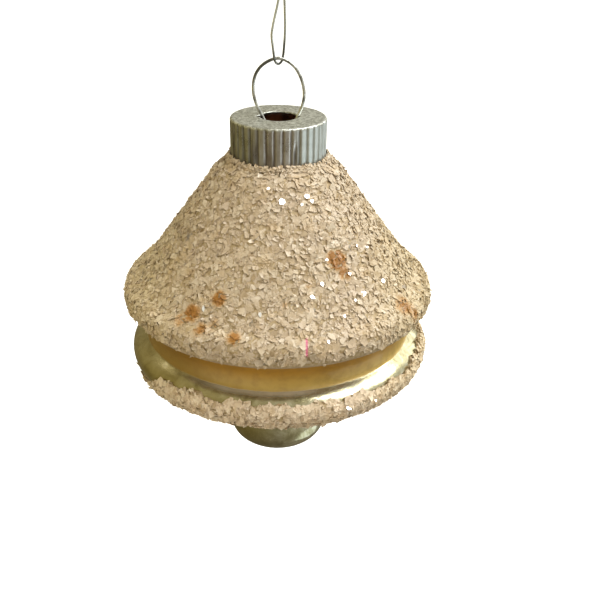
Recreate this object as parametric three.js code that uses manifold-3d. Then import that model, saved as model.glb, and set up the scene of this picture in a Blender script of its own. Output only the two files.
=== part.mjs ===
// Crusted blown-glass ornament on a wire hook.
// Millimetres, +Z up. The origin is the hang point: the inside top of the hook's crook.
// The glass, its crusts and the cap are turned about the Z axis. The hanger ring stands in the XZ plane.

import * as THREE from 'three';
import { mergeVertices } from 'three/addons/utils/BufferGeometryUtils.js';
import Module from 'manifold-3d';

const wasm = await Module();
wasm.setup();

// Heights are measured from the cap's flat top, downwards negative, and the whole object is lowered at the end.

// Cap: a thin aluminium cup with a fluted skirt
const CAP_RADIUS = 9.5;
const CAP_HEIGHT = 7.5;
const CAP_SHEET = 0.3;
const CAP_EDGE_RADIUS = 0.5;
const FLUTES = 36;
const FLUTE_DEPTH = 0.32;
const CAP_HOLE_RADIUS = 3.67;
const NOTCH_REACH = 4.6; // from the axis to a notch's tip
const NOTCH_HALF_WIDTH = 0.75;

// Glass: one thin blown shell, open at the neck
const WALL = 0.6;
const NECK_RADIUS = 7.6;
const LIP_Z = -0.6;
const KNOB_RADIUS = 10.65;
const KNOB_Z = -70.4;
const KNOB_DEPTH = 5.2;

// Crusts of flakes glued to the glass
const CRUST = 0.9;
const GLUE_GAP = 0.1;
const CONE_TOP = new THREE.Vector2(12.46, -9.96);
const CONE_FOOT = new THREE.Vector2(26.15, -28.64);
const UPPER_LOBE = { r: 28.66, z: -35.83, radius: 3.54 };
const UPPER_LOBE_START = 75;
const LOWER_LOBE = { r: 27.54, z: -48.36, radius: 4.52 };
const LOWER_GLASS_RADIUS = 31.4;
const CREASE = { r: 28.05, z: -45.05 }; // where the amber waist meets the lower lobe
const LOBE_STEPS = 4;
const BARE_STEPS = 2; // how many of them, from the crease outwards, are free of crust

// Wires
const RING_WIRE = 0.6;
const HOOK_WIRE = 0.38;
const HOOK_TURN = 45; // the hook's plane is turned this far about Z from the ring's plane
const CROOK_RADIUS = 4.4;
const CROOK_Z = 37.4;
const HANG_DROP = CROOK_Z + CROOK_RADIUS - HOOK_WIRE / 2;

// Smoothness
const GLASS_SEGMENTS = 36;
const CAP_SEGMENTS = 36;
const WIRE_HALF_SIDES = 4; // the section has twice this many sides

const point = (r, z) => new THREE.Vector2(r, z);

function finish(colour, roughness, metalness) {
  return new THREE.MeshStandardMaterial({ color: colour, roughness, metalness });
}

// Points along a circular arc about (centre.r, centre.z), angles in degrees from the outward direction.
function arc(centre, radius, from, to, steps) {
  const points = [];
  for (let i = 0; i <= steps; i += 1) {
    const angle = THREE.MathUtils.degToRad(from + ((to - from) * i) / steps);
    points.push(point(centre.r + radius * Math.cos(angle), centre.z + radius * Math.sin(angle)));
  }
  return points;
}

function curve(a, b, c, d, steps) {
  return new THREE.CubicBezierCurve(a, b, c, d).getPoints(steps);
}

// Each point of an outline that runs downwards, moved towards the axis side by a distance.
function insideOf(outline, distance) {
  return outline.map((p, i) => {
    const before = outline[Math.max(i - 1, 0)];
    const after = outline[Math.min(i + 1, outline.length - 1)];
    const along = after.clone().sub(before).normalize();
    return point(p.x + along.y * distance, p.y - along.x * distance);
  });
}

// A body of revolution about Z from a profile of (radius, height) points that runs upwards on its outside.
function turned(profile, segments) {
  const geometry = new THREE.LatheGeometry(profile, segments);
  geometry.rotateX(Math.PI / 2);
  return geometry;
}

// A round wire along a smooth curve through the given points.
function wire(points, diameter, steps) {
  const section = new THREE.Shape();
  section.absarc(0, 0, diameter / 2, 0, 2 * Math.PI, false);
  return new THREE.ExtrudeGeometry(section, {
    extrudePath: new THREE.CatmullRomCurve3(points, false, 'centripetal'),
    steps,
    curveSegments: WIRE_HALF_SIDES,
    bevelEnabled: false,
  });
}

function solid(geometry) {
  const bare = geometry.clone();
  bare.deleteAttribute('normal');
  bare.deleteAttribute('uv');
  const merged = mergeVertices(bare, 1e-4);
  return new wasm.Manifold(
    new wasm.Mesh({
      numProp: 3,
      vertProperties: new Float32Array(merged.attributes.position.array),
      triVerts: new Uint32Array(merged.index.array),
    }),
  );
}

function geometryOf(body) {
  const mesh = body.getMesh();
  const geometry = new THREE.BufferGeometry();
  geometry.setAttribute('position', new THREE.BufferAttribute(mesh.vertProperties, 3));
  geometry.setIndex(new THREE.BufferAttribute(mesh.triVerts, 1));
  geometry.computeVertexNormals();
  return geometry;
}

// The upper lobe's side: round above, fuller below, down to a foot tucked under it.
function upperLobe(radius, foot) {
  const side = UPPER_LOBE.r + radius;
  const bulge = point(side - 0.5, foot.y + 0.45);
  return [
    ...arc(UPPER_LOBE, radius, UPPER_LOBE_START, 0, 3),
    ...curve(point(side, UPPER_LOBE.z), point(side, -37.5), bulge, foot, 2).slice(1),
  ];
}

// The lower lobe's glass, from the crease down to its underside.
function lowerLobeGlass() {
  const side = LOWER_GLASS_RADIUS;
  const low = LOWER_LOBE.z - LOWER_LOBE.radius + CRUST;
  return [
    ...curve(point(CREASE.r, CREASE.z), point(29.5, -46), point(side, -46.8), point(side, -48.6), LOBE_STEPS),
    ...curve(point(side, -48.6), point(side, -50.7), point(29.6, low), point(LOWER_LOBE.r, low), 3).slice(1),
  ];
}

// The glass surface under the upper crust, from the foot of the neck to the waist's top.
function upperGlass() {
  const along = CONE_FOOT.clone().sub(CONE_TOP).normalize();
  const inward = point(along.y, -along.x).multiplyScalar(CRUST);
  return [
    point(NECK_RADIUS, -8.4),
    point(NECK_RADIUS + 1.4, -9),
    CONE_TOP.clone().add(inward),
    CONE_FOOT.clone().add(inward),
    ...upperLobe(UPPER_LOBE.radius - CRUST, point(30.1, -38.45)),
  ];
}

function glassOutline() {
  const low = LOWER_LOBE.z - LOWER_LOBE.radius + CRUST;
  const knobSide = point(KNOB_RADIUS, KNOB_Z);
  const knob = new THREE.EllipseCurve(0, KNOB_Z, KNOB_RADIUS, KNOB_DEPTH, 0, -Math.PI / 2, true);
  return [
    point(NECK_RADIUS, LIP_Z),
    ...upperGlass(),
    point(29, -39.4),
    point(28.1, -40.9),
    point(27.75, -43.4),
    ...lowerLobeGlass(),
    ...curve(point(LOWER_LOBE.r, low), point(18, low), point(9, -57), point(9, -64.6), 5).slice(1),
    ...curve(point(9, -64.6), point(9, -66.8), point(KNOB_RADIUS, -68.2), knobSide, 3).slice(1),
    ...knob.getPoints(5).slice(1),
  ];
}

function glassBody() {
  const outside = glassOutline();
  const inside = insideOf(outside, WALL);
  inside[0].y = LIP_Z;
  inside[inside.length - 1].x = 0;
  outside[outside.length - 1].x = 0;
  return turned([...outside.reverse(), ...inside], GLASS_SEGMENTS);
}

function upperCrust() {
  const outside = [
    point(9.3, -7.8),
    CONE_TOP,
    CONE_FOOT,
    ...upperLobe(UPPER_LOBE.radius, point(30.5, -39.35)),
  ];
  const inside = insideOf(upperGlass(), -GLUE_GAP);
  const profile = [...outside.reverse(), point(NECK_RADIUS + GLUE_GAP, -7.8), ...inside];
  return turned([...profile, profile[0]], GLASS_SEGMENTS);
}

function lowerCrust() {
  const side = LOWER_LOBE.r + LOWER_LOBE.radius;
  const low = LOWER_LOBE.z - LOWER_LOBE.radius;
  const shoulder = curve(point(28.3, -44.7), point(29.9, -45.5), point(side, -46.5), point(side, -48.4), LOBE_STEPS);
  const belly = curve(point(side, -48.4), point(side, -50.9), point(30, low), point(LOWER_LOBE.r, low), 3);
  const outside = [...shoulder.slice(BARE_STEPS), ...belly.slice(1)];
  const inside = insideOf(lowerLobeGlass().slice(BARE_STEPS), -GLUE_GAP);
  const profile = [...outside.reverse(), ...inside];
  return turned([...profile, profile[0]], GLASS_SEGMENTS);
}

// The skirt's outline seen from above, with rounded flutes all round.
function flutedOutline(crest) {
  const points = [];
  const perFlute = 4;
  for (let i = 0; i < FLUTES * perFlute; i += 1) {
    const angle = (2 * Math.PI * i) / (FLUTES * perFlute);
    const radius = crest - FLUTE_DEPTH / 2 + (FLUTE_DEPTH / 2) * Math.cos(FLUTES * angle);
    points.push(point(radius * Math.cos(angle), radius * Math.sin(angle)));
  }
  return points;
}

function notch(side) {
  const outline = new THREE.Shape([
    point(side * 3, -NOTCH_HALF_WIDTH * side),
    point(side * NOTCH_REACH, 0),
    point(side * 3, NOTCH_HALF_WIDTH * side),
  ]);
  const cutter = new THREE.ExtrudeGeometry(outline, { depth: 4 * CAP_SHEET, bevelEnabled: false });
  cutter.translate(0, 0, -2.5 * CAP_SHEET);
  return solid(cutter);
}

function capShell() {
  const topRadius = CAP_RADIUS - FLUTE_DEPTH / 4;
  const skirtTop = -CAP_EDGE_RADIUS - 0.2;
  const edge = { r: topRadius - CAP_EDGE_RADIUS, z: -CAP_EDGE_RADIUS };
  const innerEdge = CAP_EDGE_RADIUS - CAP_SHEET;
  const top = [
    point(topRadius - CAP_SHEET, skirtTop - 0.2),
    point(topRadius, skirtTop - 0.2),
    ...arc(edge, CAP_EDGE_RADIUS, 0, 90, 2),
    point(CAP_HOLE_RADIUS, 0),
    point(CAP_HOLE_RADIUS, -CAP_SHEET),
    ...arc(edge, innerEdge, 90, 0, 1),
  ];
  const skirt = new THREE.Shape(flutedOutline(CAP_RADIUS));
  skirt.holes.push(new THREE.Path(flutedOutline(CAP_RADIUS - CAP_SHEET)));
  const skirtBody = new THREE.ExtrudeGeometry(skirt, {
    depth: CAP_HEIGHT + skirtTop,
    bevelEnabled: false,
  });
  skirtBody.translate(0, 0, -CAP_HEIGHT);
  let body = solid(turned([...top, top[0]], CAP_SEGMENTS)).add(solid(skirtBody));
  body = body.subtract(notch(1)).subtract(notch(-1));
  return geometryOf(body);
}

// The spring wire: up one leg from inside the neck, round the ring, and down the other leg.
function hangerClip() {
  const route = [
    [-5.9, -14.4],
    [-4.9, -10],
    [-3, -5],
    [-2.3, -2.4],
    [-3.1, -0.1],
    [-4.25, 2.2],
    [-4.85, 5],
    [-4.4, 7.9],
    [-2.8, 9.93],
    [0, 11],
    [2.6, 9.85],
    [4.2, 7.5],
    [4.93, 4.3],
    [4.5, 1.8],
    [3.6, -0.3],
    [2.9, -2.4],
    [3.3, -5],
    [5, -10],
    [6, -14.4],
  ];
  return wire(route.map(([x, z]) => new THREE.Vector3(x, 0, z)), RING_WIRE, 60);
}

// The hook, in its own plane: a narrow loop round the ring's wire, a shank, and the crook above.
function ornamentHook() {
  const loop = [
    [0.45, 24.3],
    [-0.1, 21.4],
    [-1.5, 17.1],
    [-1.85, 15.4],
    [-1.6, 13.6],
    [-1.15, 11.2],
    [-0.8, 10.35],
    [0, 9.95],
    [0.8, 10.35],
    [1.15, 11.2],
    [1.5, 13.7],
    [1.68, 16],
    [1.6, 19],
    [1.45, 21.4],
    [1.1, 24.4],
    [1.3, 27],
    [2.7, 31],
    [4, 34.6],
  ];
  const crook = arc({ r: 0, z: CROOK_Z }, CROOK_RADIUS, 0, 180, 8).map((p) => [p.x, p.y]);
  const tail = [
    [-4.2, 35],
    [-4.7, 33],
  ];
  const route = [...loop, ...crook, ...tail];
  return wire(route.map(([x, z]) => new THREE.Vector3(x, 0, z)), HOOK_WIRE, 100);
}

function piece(name, geometry, material) {
  const mesh = new THREE.Mesh(geometry, material);
  mesh.name = name;
  return mesh;
}

const model = new THREE.Group();
const ornament = new THREE.Group();
const hook = new THREE.Group();

const flakes = finish(0xcdb48c, 0.7, 0);
ornament.add(piece('glass_body', glassBody(), finish(0xa09a72, 0.15, 0.9)));
ornament.add(piece('mica_crust_upper', upperCrust(), flakes));
ornament.add(piece('mica_crust_lower', lowerCrust(), flakes.clone()));
ornament.add(piece('cap', capShell(), finish(0x9da39c, 0.4, 0.9)));
ornament.add(piece('hanger_clip', hangerClip(), finish(0x8d8c86, 0.3, 1)));
hook.add(piece('ornament_hook', ornamentHook(), finish(0xa4a59f, 0.35, 1)));
hook.rotation.z = THREE.MathUtils.degToRad(HOOK_TURN);

model.add(ornament, hook);
ornament.position.z = -HANG_DROP;
hook.position.z = -HANG_DROP;

export default model;
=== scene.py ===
"""Looks of a crusted, silvered glass ornament that hangs from a wire hook.

Lengths in the shape code are in millimetres and heights are measured from the cap's flat top.
mesh_piece turns them into metres in the row frame. Azimuths go round the Z axis from the front (-Y),
positive to +X: in degrees in the named tables, in radians in the mesh code.
"""

import math

import bpy
import numpy as np
from mathutils import Matrix, Vector, noise


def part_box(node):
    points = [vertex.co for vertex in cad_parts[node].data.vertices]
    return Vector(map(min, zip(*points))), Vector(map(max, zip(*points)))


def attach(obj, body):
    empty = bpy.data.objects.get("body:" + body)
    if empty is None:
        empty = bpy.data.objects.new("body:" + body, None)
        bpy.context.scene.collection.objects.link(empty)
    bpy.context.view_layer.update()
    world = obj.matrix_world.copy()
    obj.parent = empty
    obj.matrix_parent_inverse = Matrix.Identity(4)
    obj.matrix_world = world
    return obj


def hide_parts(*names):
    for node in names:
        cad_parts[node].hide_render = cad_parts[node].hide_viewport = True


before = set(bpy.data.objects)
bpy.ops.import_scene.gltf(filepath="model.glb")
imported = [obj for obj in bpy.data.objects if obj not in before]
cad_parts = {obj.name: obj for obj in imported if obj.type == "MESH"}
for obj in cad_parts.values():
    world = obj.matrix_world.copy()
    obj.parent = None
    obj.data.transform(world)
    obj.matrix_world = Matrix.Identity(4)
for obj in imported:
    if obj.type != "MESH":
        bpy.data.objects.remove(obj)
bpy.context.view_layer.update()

MM = 0.001
CAP_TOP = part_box("cap")[1].z / MM
SEED = 20
rng = np.random.default_rng(SEED)

# Shape in millimetres, as in the frame but for a little more depth of flute and hook wire
CAP_RADIUS = 9.5
CAP_HEIGHT = 7.5
CAP_SHEET = 0.3
CAP_EDGE_RADIUS = 0.5
CAP_HOLE_RADIUS = 3.67
NOTCH_DEPTH = 0.93
NOTCH_DEGREES = 13
FLUTES = 36
FLUTE_DEPTH = 0.34
GROOVE_SHARE = 0.3
NECK_RADIUS = 7.6
LIP_Z = -0.6
WALL = 0.6
CRUST = 0.9
CONE_TOP = (12.46, -9.96)
CONE_FOOT = (26.15, -28.64)
UPPER_LOBE = (28.66, -35.83)
UPPER_LOBE_RADIUS = 3.54
UPPER_LOBE_START = 75
UPPER_GLASS_FOOT = (30.1, -38.45)
UPPER_CRUST_FOOT = (30.5, -39.35)
WAIST_RADIUS = 27.75
WAIST_Z = -42.8
CREASE_RADIUS = 28.05
CREASE_Z = -45.05
LOWER_LOBE = (27.54, -48.36)
LOWER_LOBE_RADIUS = 4.52
LOWER_GLASS_RADIUS = 31.4
STEM_RADIUS = 9
STEM_Z = -64.6
KNOB_RADIUS = 10.65
KNOB_Z = -70.4
KNOB_DEPTH = 5.2
RING_WIRE = 0.6
HOOK_WIRE = 0.44
HOOK_TURN = math.radians(45)
CROOK_RADIUS = 4.4
CROOK_Z = 37.4

# Where the ornament is seen from and looked at, in millimetres, and the camera's tilt in degrees
EYE = (0, -157.9, 41.1)
AIM = (4.77, 0, -40.2)
ROLL = 0.95
LENS = 49.1
SENSOR = 36

# Height that the lamps are aimed at, in millimetres, and the floor's height and radius in metres
LAMP_AIM_Z = -38
FLOOR_Z = -0.3
FLOOR_RADIUS = 3
FLOOR_GLOW = 0.8
ROOM_STRENGTH = 1.15

# How finely the meshes are cut: columns round the axis, and steps along an outline in millimetres
GLASS_COLUMNS = 224
GLASS_STEP = 0.42
INNER_GLASS_STEP = 1.1
CRUST_STEP = 0.15
GLUE_COLUMNS = 600
GLUE_INNER_ROWS = 14
COLUMNS_PER_FLUTE = 18
WIRE_SIDES = 20


# ---------------------------------------------------------------- outlines

def arc(centre, radius, start, end, count):
    """Points of a circular arc between two angles in degrees."""
    angle = np.radians(np.linspace(start, end, count))
    return np.column_stack([centre[0] + radius * np.cos(angle), centre[1] + radius * np.sin(angle)])


def bezier(a, b, c, d, count):
    """Points of a smooth curve from a to d that leaves towards b and arrives from c."""
    t = np.linspace(0, 1, count)[:, None]
    a, b, c, d = (np.array(p, float) for p in (a, b, c, d))
    return a * (1 - t) ** 3 + 3 * b * t * (1 - t) ** 2 + 3 * c * t**2 * (1 - t) + d * t**3


def joined(*stretches):
    """One outline from single points and runs of points."""
    return np.vstack([np.atleast_2d(np.array(s, float)) for s in stretches])


def lengths(outline):
    """Distance along an outline to each of its points."""
    steps = np.linalg.norm(np.diff(outline, axis=0), axis=1)
    return np.concatenate([[0], np.cumsum(steps)])


def resampled(outline, spacing):
    """The same outline in even steps of about spacing."""
    along = lengths(outline)
    count = max(2, int(round(along[-1] / spacing)) + 1)
    at = np.linspace(0, along[-1], count)
    return np.column_stack([np.interp(at, along, outline[:, i]) for i in (0, 1)])


def outward(outline):
    """Unit normals of an outline that runs downwards, pointing away from the glass."""
    along = np.gradient(outline, axis=0)
    normal = np.column_stack([-along[:, 1], along[:, 0]])
    return normal / np.linalg.norm(normal, axis=1)[:, None]


def upper_lobe(radius, foot):
    """The lobe's side: round above, fuller below, down to a foot tucked under it."""
    side = UPPER_LOBE[0] + radius
    return joined(
        arc(UPPER_LOBE, radius, UPPER_LOBE_START, 0, 24),
        bezier((side, UPPER_LOBE[1]), (side, -37.5), (side - 0.5, foot[1] + 0.45), foot, 16)[1:],
    )


def upper_glass():
    """The glass under the upper crust, from the foot of the neck to the top of the waist."""
    along = np.array(CONE_FOOT) - np.array(CONE_TOP)
    along /= np.linalg.norm(along)
    inward = np.array([along[1], -along[0]]) * CRUST
    return joined(
        (NECK_RADIUS, -8.4),
        (NECK_RADIUS + 1.4, -9),
        np.array(CONE_TOP) + inward,
        np.array(CONE_FOOT) + inward,
        upper_lobe(UPPER_LOBE_RADIUS - CRUST, UPPER_GLASS_FOOT),
    )


def glass_outline():
    """The outside of the glass from the neck's lip down to the pole under the knob."""
    waist = (WAIST_RADIUS, WAIST_Z)
    crease = (CREASE_RADIUS, CREASE_Z)
    side = LOWER_GLASS_RADIUS
    foot = (LOWER_LOBE[0], LOWER_LOBE[1] - LOWER_LOBE_RADIUS + CRUST)
    stem = (STEM_RADIUS, STEM_Z)
    knob_angle = np.radians(np.linspace(0, 90, 40))[1:]
    knob = np.column_stack([KNOB_RADIUS * np.cos(knob_angle), KNOB_Z - KNOB_DEPTH * np.sin(knob_angle)])
    return joined(
        (NECK_RADIUS, LIP_Z),
        upper_glass(),
        bezier(UPPER_GLASS_FOOT, (28.9, -39.3), (WAIST_RADIUS, -40.6), waist, 24)[1:],
        bezier(waist, (WAIST_RADIUS, -44), (WAIST_RADIUS, -44.85), crease, 16)[1:],
        bezier(crease, (29.5, -46), (side, -46.8), (side, -48.6), 34)[1:],
        bezier((side, -48.6), (side, -50.7), (29.6, foot[1]), foot, 30)[1:],
        bezier(foot, (18, foot[1]), (STEM_RADIUS, -57), stem, 50)[1:],
        bezier(stem, (STEM_RADIUS, -66.8), (KNOB_RADIUS, -68.2), (KNOB_RADIUS, KNOB_Z), 24)[1:],
        knob,
    )


def upper_crust_outline():
    """The face of the upper crust, from under the cap's hem down to its foot above the waist."""
    under_hem = [(8.7, -7.56), (9.8, -7.9)]
    return joined(under_hem, CONE_TOP, CONE_FOOT, upper_lobe(UPPER_LOBE_RADIUS, UPPER_CRUST_FOOT))


def lower_crust_outline():
    """A line just off the lower lobe's glass, from its crease down to its underside."""
    side = LOWER_LOBE[0] + LOWER_LOBE_RADIUS
    low = LOWER_LOBE[1] - LOWER_LOBE_RADIUS
    return joined(
        bezier((28.3, -44.7), (29.9, -45.5), (side, -46.5), (side, -48.4), 34),
        bezier((side, -48.4), (side, -50.9), (30, low), (LOWER_LOBE[0], low), 34)[1:],
    )


# ---------------------------------------------------------------- meshes

def mesh_piece(name, points, faces, material, smooth=True):
    """A mesh object in metres in the row frame, from points in millimetres about the cap's top."""
    placed = (np.asarray(points, float) + np.array([0, 0, CAP_TOP])) * MM
    mesh = bpy.data.meshes.new(name)
    mesh.from_pydata(placed.tolist(), [], faces)
    mesh.validate()
    mesh.materials.append(material)
    mesh.polygons.foreach_set("use_smooth", np.full(len(mesh.polygons), smooth))
    piece = bpy.data.objects.new(name, mesh)
    bpy.context.scene.collection.objects.link(piece)
    return piece


def round_about(outline, columns):
    """Points of an outline turned about Z, as an array of rows by columns by 3."""
    azimuth = np.linspace(0, 2 * math.pi, columns, endpoint=False)
    r, z = outline[:, 0][:, None], outline[:, 1][:, None]
    return np.stack([r * np.sin(azimuth), -r * np.cos(azimuth), z + 0 * azimuth], axis=2)


def grid_faces(rows, columns, close_rows=False):
    """Quads of a grid whose columns wrap round. Rows run downwards on the outside."""
    faces = []
    last = rows if close_rows else rows - 1
    for i in range(last):
        below = (i + 1) % rows
        for j in range(columns):
            k = (j + 1) % columns
            faces.append((i * columns + j, below * columns + j, below * columns + k, i * columns + k))
    return faces


def rough(points, size, seed):
    """Smooth noise from about -1 to 1 at each point, with lumps about size millimetres wide."""
    shift = Vector((seed * 7.3, seed * 3.1, seed * 5.7))
    return np.array([noise.noise(Vector(p) / size + shift) for p in points])


def spline(route, count):
    """Evenly spaced points on a smooth curve through the route's points."""
    route = np.array(route, float)
    route = np.vstack([2 * route[0] - route[1], route, 2 * route[-1] - route[-2]])
    dense = []
    for p0, p1, p2, p3 in zip(route[:-3], route[1:-2], route[2:-1], route[3:]):
        k = [np.sqrt(np.linalg.norm(b - a)) for a, b in ((p0, p1), (p1, p2), (p2, p3))]
        t0, t1, t2, t3 = 0, k[0], k[0] + k[1], k[0] + k[1] + k[2]
        t = np.linspace(t1, t2, 24, endpoint=False)[:, None]
        a1 = p0 * (t1 - t) / (t1 - t0) + p1 * (t - t0) / (t1 - t0)
        a2 = p1 * (t2 - t) / (t2 - t1) + p2 * (t - t1) / (t2 - t1)
        a3 = p2 * (t3 - t) / (t3 - t2) + p3 * (t - t2) / (t3 - t2)
        b1 = a1 * (t2 - t) / (t2 - t0) + a2 * (t - t0) / (t2 - t0)
        b2 = a2 * (t3 - t) / (t3 - t1) + a3 * (t - t1) / (t3 - t1)
        dense.append(b1 * (t2 - t) / (t2 - t1) + b2 * (t - t1) / (t2 - t1))
    dense = np.vstack([*dense, route[-2]])
    along = lengths(dense)
    at = np.linspace(0, along[-1], count)
    return np.column_stack([np.interp(at, along, dense[:, i]) for i in range(3)])


def wire_piece(name, centre, radius, material, across):
    """A round wire along centre with rounded ends. No stretch of it runs along the direction across."""
    along = np.gradient(centre, axis=0)
    along /= np.linalg.norm(along, axis=1)[:, None]
    side = np.cross(along, across)
    side /= np.linalg.norm(side, axis=1)[:, None]
    over = np.cross(side, along)
    ends = [(0.45, 0.85), (0.85, 0.45)]
    rings = []
    for past, share in reversed(ends):
        rings.append((centre[0] - along[0] * radius * past, side[0], over[0], share))
    for c, s, o in zip(centre, side, over):
        rings.append((c, s, o, 1.0))
    for past, share in ends:
        rings.append((centre[-1] + along[-1] * radius * past, side[-1], over[-1], share))
    angle = np.linspace(0, 2 * math.pi, WIRE_SIDES, endpoint=False)
    points = np.vstack([
        c + radius * share * (np.cos(angle)[:, None] * s + np.sin(angle)[:, None] * o)
        for c, s, o, share in rings
    ])
    faces = grid_faces(len(rings), WIRE_SIDES)
    faces.append(tuple(range(WIRE_SIDES)))
    faces.append(tuple(reversed(range(len(points) - WIRE_SIDES, len(points)))))
    return mesh_piece(name, points, faces, material)


# ---------------------------------------------------------------- material nodes

class Nodes:
    """Short calls for building one material's node tree."""

    def __init__(self, name):
        self.material = bpy.data.materials.new(name)
        self.material.use_nodes = True
        self.tree = self.material.node_tree
        self.shader = self.tree.nodes["Principled BSDF"]
        place = self.add("ShaderNodeTexCoord")
        scaled = self.add("ShaderNodeMapping")
        scaled.inputs["Scale"].default_value = (1 / MM, 1 / MM, 1 / MM)
        scaled.inputs["Location"].default_value = (0, 0, -CAP_TOP)
        self.link(place.outputs["Object"], scaled.inputs["Vector"])
        self.place = scaled.outputs["Vector"]

    def add(self, kind, **settings):
        made = self.tree.nodes.new(kind)
        for key, value in settings.items():
            setattr(made, key, value)
        return made

    def link(self, a, b):
        self.tree.links.new(a, b)

    def feed(self, socket, value):
        """Link a socket's output, or set a constant."""
        if isinstance(value, bpy.types.NodeSocket):
            self.link(value, socket)
        else:
            socket.default_value = value

    def math(self, operation, a, b=0.0, clamp=False):
        made = self.add("ShaderNodeMath", operation=operation, use_clamp=clamp)
        self.feed(made.inputs[0], a)
        self.feed(made.inputs[1], b)
        return made.outputs[0]

    def times(self, a, b):
        return self.math("MULTIPLY", a, b)

    def plus(self, a, b):
        return self.math("ADD", a, b)

    def noise(self, scale, detail=3.0, roughness=0.55, stretch=None, distortion=0.0):
        """Noise with a given number of lumps per millimetre."""
        made = self.add("ShaderNodeTexNoise")
        made.inputs["Scale"].default_value = scale
        made.inputs["Detail"].default_value = detail
        made.inputs["Roughness"].default_value = roughness
        made.inputs["Distortion"].default_value = distortion
        vector = self.place
        if stretch:
            squeeze = self.add("ShaderNodeVectorMath", operation="MULTIPLY")
            self.link(vector, squeeze.inputs[0])
            squeeze.inputs[1].default_value = stretch
            vector = squeeze.outputs[0]
        self.link(vector, made.inputs["Vector"])
        return made.outputs["Fac"]

    def range(self, value, low, high, to_low=0.0, to_high=1.0):
        """A smooth step from to_low to to_high as the value goes from low to high."""
        made = self.add("ShaderNodeMapRange", interpolation_type="SMOOTHSTEP")
        self.feed(made.inputs["Value"], value)
        made.inputs["From Min"].default_value = low
        made.inputs["From Max"].default_value = high
        made.inputs["To Min"].default_value = to_low
        made.inputs["To Max"].default_value = to_high
        return made.outputs["Result"]

    def mix(self, share, a, b):
        """Colour a, turned into b by share."""
        made = self.add("ShaderNodeMix", data_type="RGBA")
        self.feed(made.inputs[0], share)
        for socket, value in ((made.inputs[6], a), (made.inputs[7], b)):
            self.feed(socket, value if isinstance(value, bpy.types.NodeSocket) else (*value, 1.0))
        return made.outputs[2]

    def ramp(self, value, *stops):
        made = self.add("ShaderNodeValToRGB")
        elements = made.color_ramp.elements
        while len(elements) < len(stops):
            elements.new(1.0)
        for element, (at, colour) in zip(elements, stops):
            element.position = at
            element.color = (*colour, 1.0)
        self.feed(made.inputs["Fac"], value)
        return made.outputs["Color"]

    def attribute(self, name):
        made = self.add("ShaderNodeAttribute", attribute_name=name)
        return made.outputs["Fac"]

    def axis(self, index):
        """The place along X, Y or Z in millimetres, with heights from the cap's top."""
        made = self.add("ShaderNodeSeparateXYZ")
        self.link(self.place, made.inputs[0])
        return made.outputs[index]

    def near(self, point, reach, feather):
        """1 within reach millimetres of a point, fading to 0 over feather."""
        made = self.add("ShaderNodeVectorMath", operation="DISTANCE")
        self.link(self.place, made.inputs[0])
        made.inputs[1].default_value = tuple(point)
        return self.range(made.outputs["Value"], reach, reach + feather, 1.0, 0.0)

    def bump(self, height, distance, strength=1.0, after=None):
        made = self.add("ShaderNodeBump")
        made.inputs["Strength"].default_value = strength
        made.inputs["Distance"].default_value = distance * MM
        self.feed(made.inputs["Height"], height)
        if after is not None:
            self.link(after, made.inputs["Normal"])
        return made.outputs["Normal"]

    def set(self, **values):
        names = {
            "colour": "Base Color", "rough": "Roughness", "metal": "Metallic", "coat": "Coat Weight",
            "coat_rough": "Coat Roughness", "normal": "Normal", "specular": "Specular IOR Level",
            "coat_normal": "Coat Normal",
        }
        for key, value in values.items():
            if key == "colour" and not isinstance(value, bpy.types.NodeSocket):
                value = (*value, 1.0)
            self.feed(self.shader.inputs[names[key]], value)


def on_crust(azimuth, height):
    """The point of the upper crust's surface at an azimuth and a height."""
    outline = upper_crust_outline()
    radius = np.interp(-height, -outline[:, 1], outline[:, 0])
    a = math.radians(azimuth)
    return (radius * math.sin(a), -radius * math.cos(a), height)


# azimuth, height, reach and feather in millimetres, strength
RUST_STAINS = [
    (30.7, -22.3, 0.9, 2.0, 1.15),
    (32.5, -24.6, 0.3, 2.0, 0.8),
    (-25, -28, 0.4, 1.9, 0.95),
    (-34.5, -31.0, 0.4, 2.6, 0.95),
    (-37, -32.4, 0.2, 2.6, 0.62),
    (-28, -32.6, 0.3, 2.2, 0.68),
    (-24, -31.8, 0.2, 1.8, 0.5),
    (-15.2, -32.8, 0.5, 1.7, 0.85),
    (55, -32.6, 0.6, 3.2, 0.72),
    (57, -34.4, 0.3, 2.0, 0.6),
    (2.4, -28.1, 0.1, 1.1, 0.5),
    (13.3, -25.5, 0.1, 1.1, 0.42),
    (150, -26, 0.7, 2.2, 0.8),
    (-120, -31, 0.6, 2.4, 0.7),
    (-165, -20, 0.4, 2.0, 0.6),
]
PINK_STREAK_X = 5.2
PINK_STREAK_TOP = -32.5
PINK_STREAK_FOOT = -35.6


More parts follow.
